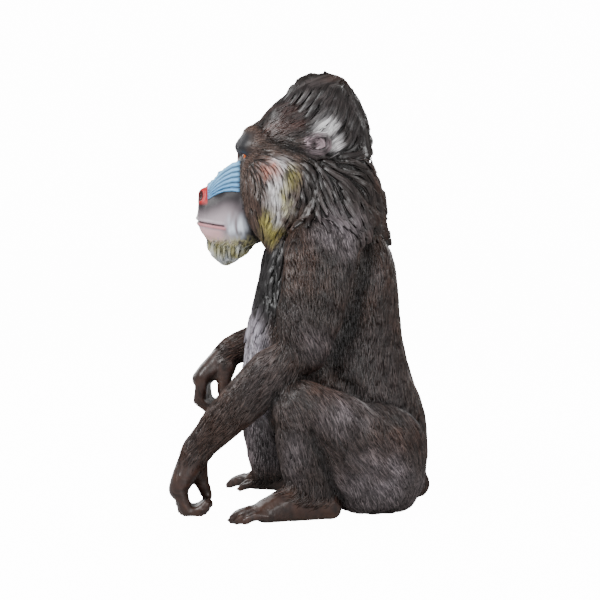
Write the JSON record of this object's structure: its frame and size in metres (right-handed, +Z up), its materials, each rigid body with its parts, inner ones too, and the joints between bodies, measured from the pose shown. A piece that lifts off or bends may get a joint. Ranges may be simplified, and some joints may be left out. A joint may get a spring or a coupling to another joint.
{
  "type": "mandrill statue",
  "caption": "Life-size cast statue of a sitting adult male mandrill with sculpted locks, a crest, cheek ruffs and a painted blue and red muzzle.",
  "frame": {"origin": "centre of the whole statue's box, at floor level", "axes": "+Z up, the animal faces -Y, +X is the animal's left side"},
  "size_m": [0.4222, 0.4782, 0.7999],
  "materials": {
    "fur_paint": "dark grey-brown paint with lighter dry-brushed ridges, satin",
    "hair_paint": "dark grey-brown paint on bold sculpted locks, satin",
    "belly_paint": "pale lavender-grey paint on a dark ground, satin",
    "ruff_paint": "brown, white and yellow paint blended over sculpted locks, satin",
    "beard_paint": "olive-yellow paint over sculpted locks, satin",
    "face_paint": "bare skin in slate, blue, red and pink paint, satin",
    "hand_paint": "dark brown skin paint with glossier high spots",
    "ear_paint": "pinkish grey skin paint, satin",
    "eye_paint": "orange iris with a dark pupil under a gloss coat"
  },
  "bodies": {
    "root": {"head": "face_paint", "eye_left": "eye_paint", "eye_right": "eye_paint", "ear_left": "ear_paint", "ear_right": "ear_paint", "crest": "hair_paint", "mane": "hair_paint", "ruff_left": "ruff_paint", "ruff_right": "ruff_paint", "beard": "beard_paint", "neck": "hair_paint", "chest": "hair_paint", "belly": "belly_paint", "rump": "fur_paint", "tail": "hand_paint", "upper_arm_left": "fur_paint", "upper_arm_right": "fur_paint", "forearm_left": "fur_paint", "forearm_right": "fur_paint", "hand_left": "hand_paint", "hand_right": "hand_paint", "thigh_left": "fur_paint", "thigh_right": "fur_paint", "lower_leg_left": "fur_paint", "lower_leg_right": "fur_paint", "foot_left": "hand_paint", "foot_right": "hand_paint"}
  },
  "joints": []
}
